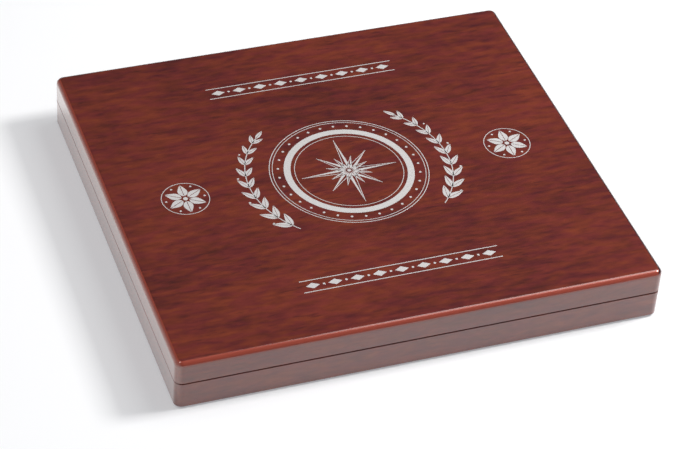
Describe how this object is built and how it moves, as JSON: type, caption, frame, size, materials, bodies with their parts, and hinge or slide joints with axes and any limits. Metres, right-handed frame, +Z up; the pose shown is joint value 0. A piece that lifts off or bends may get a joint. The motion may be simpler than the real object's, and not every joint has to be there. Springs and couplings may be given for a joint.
{
  "type": "coin case",
  "caption": "Flat lacquered wooden presentation case for coins, with a hinged lid, a velvet tray of round recesses and a padded satin lid lining.",
  "frame": {"origin": "centre of the case's footprint on the felt that it rests on", "axes": "+X along the case's length, -Y towards its front, +Z up through the closed lid"},
  "size_m": [0.305, 0.2851, 0.0355],
  "materials": {
    "lacquered_wood": "glossy red-brown lacquer over figured wood",
    "velvet": "dark blue short-pile velvet",
    "satin": "ivory satin over padding",
    "felt": "black felt",
    "board": "grey-brown card",
    "brass": "polished",
    "nickel": "nickel plated"
  },
  "bodies": {
    "base": {"base_front_rail": "lacquered_wood", "base_rear_rail": "lacquered_wood", "base_left_rail": "lacquered_wood", "base_right_rail": "lacquered_wood", "base_panel": "lacquered_wood", "base_felt": "felt", "base_wall_lining": "velvet", "tray_board": "board", "coin_tray": "velvet", "base_magnets": "nickel", "base_hinge_leaf_left": "brass", "base_hinge_leaf_right": "brass", "hinge_pin_left": "brass", "hinge_pin_right": "brass", "base_hinge_screws": "brass"},
    "lid": {"lid_panel": "lacquered_wood", "lid_front_rail": "lacquered_wood", "lid_rear_rail": "lacquered_wood", "lid_left_rail": "lacquered_wood", "lid_right_rail": "lacquered_wood", "lid_board": "board", "lid_wall_lining": "velvet", "satin_pad": "satin", "lid_magnets": "nickel", "lid_hinge_leaf_left": "brass", "lid_hinge_leaf_right": "brass", "lid_hinge_screws": "brass"}
  },
  "joints": [
    {"name": "lid_hinge", "type": "hinge", "parent": "base", "child": "lid", "pos_m": [0, 0.1425, 0.0193], "axis": [-1, 0, 0], "range_deg": [0, 95]}
  ]
}
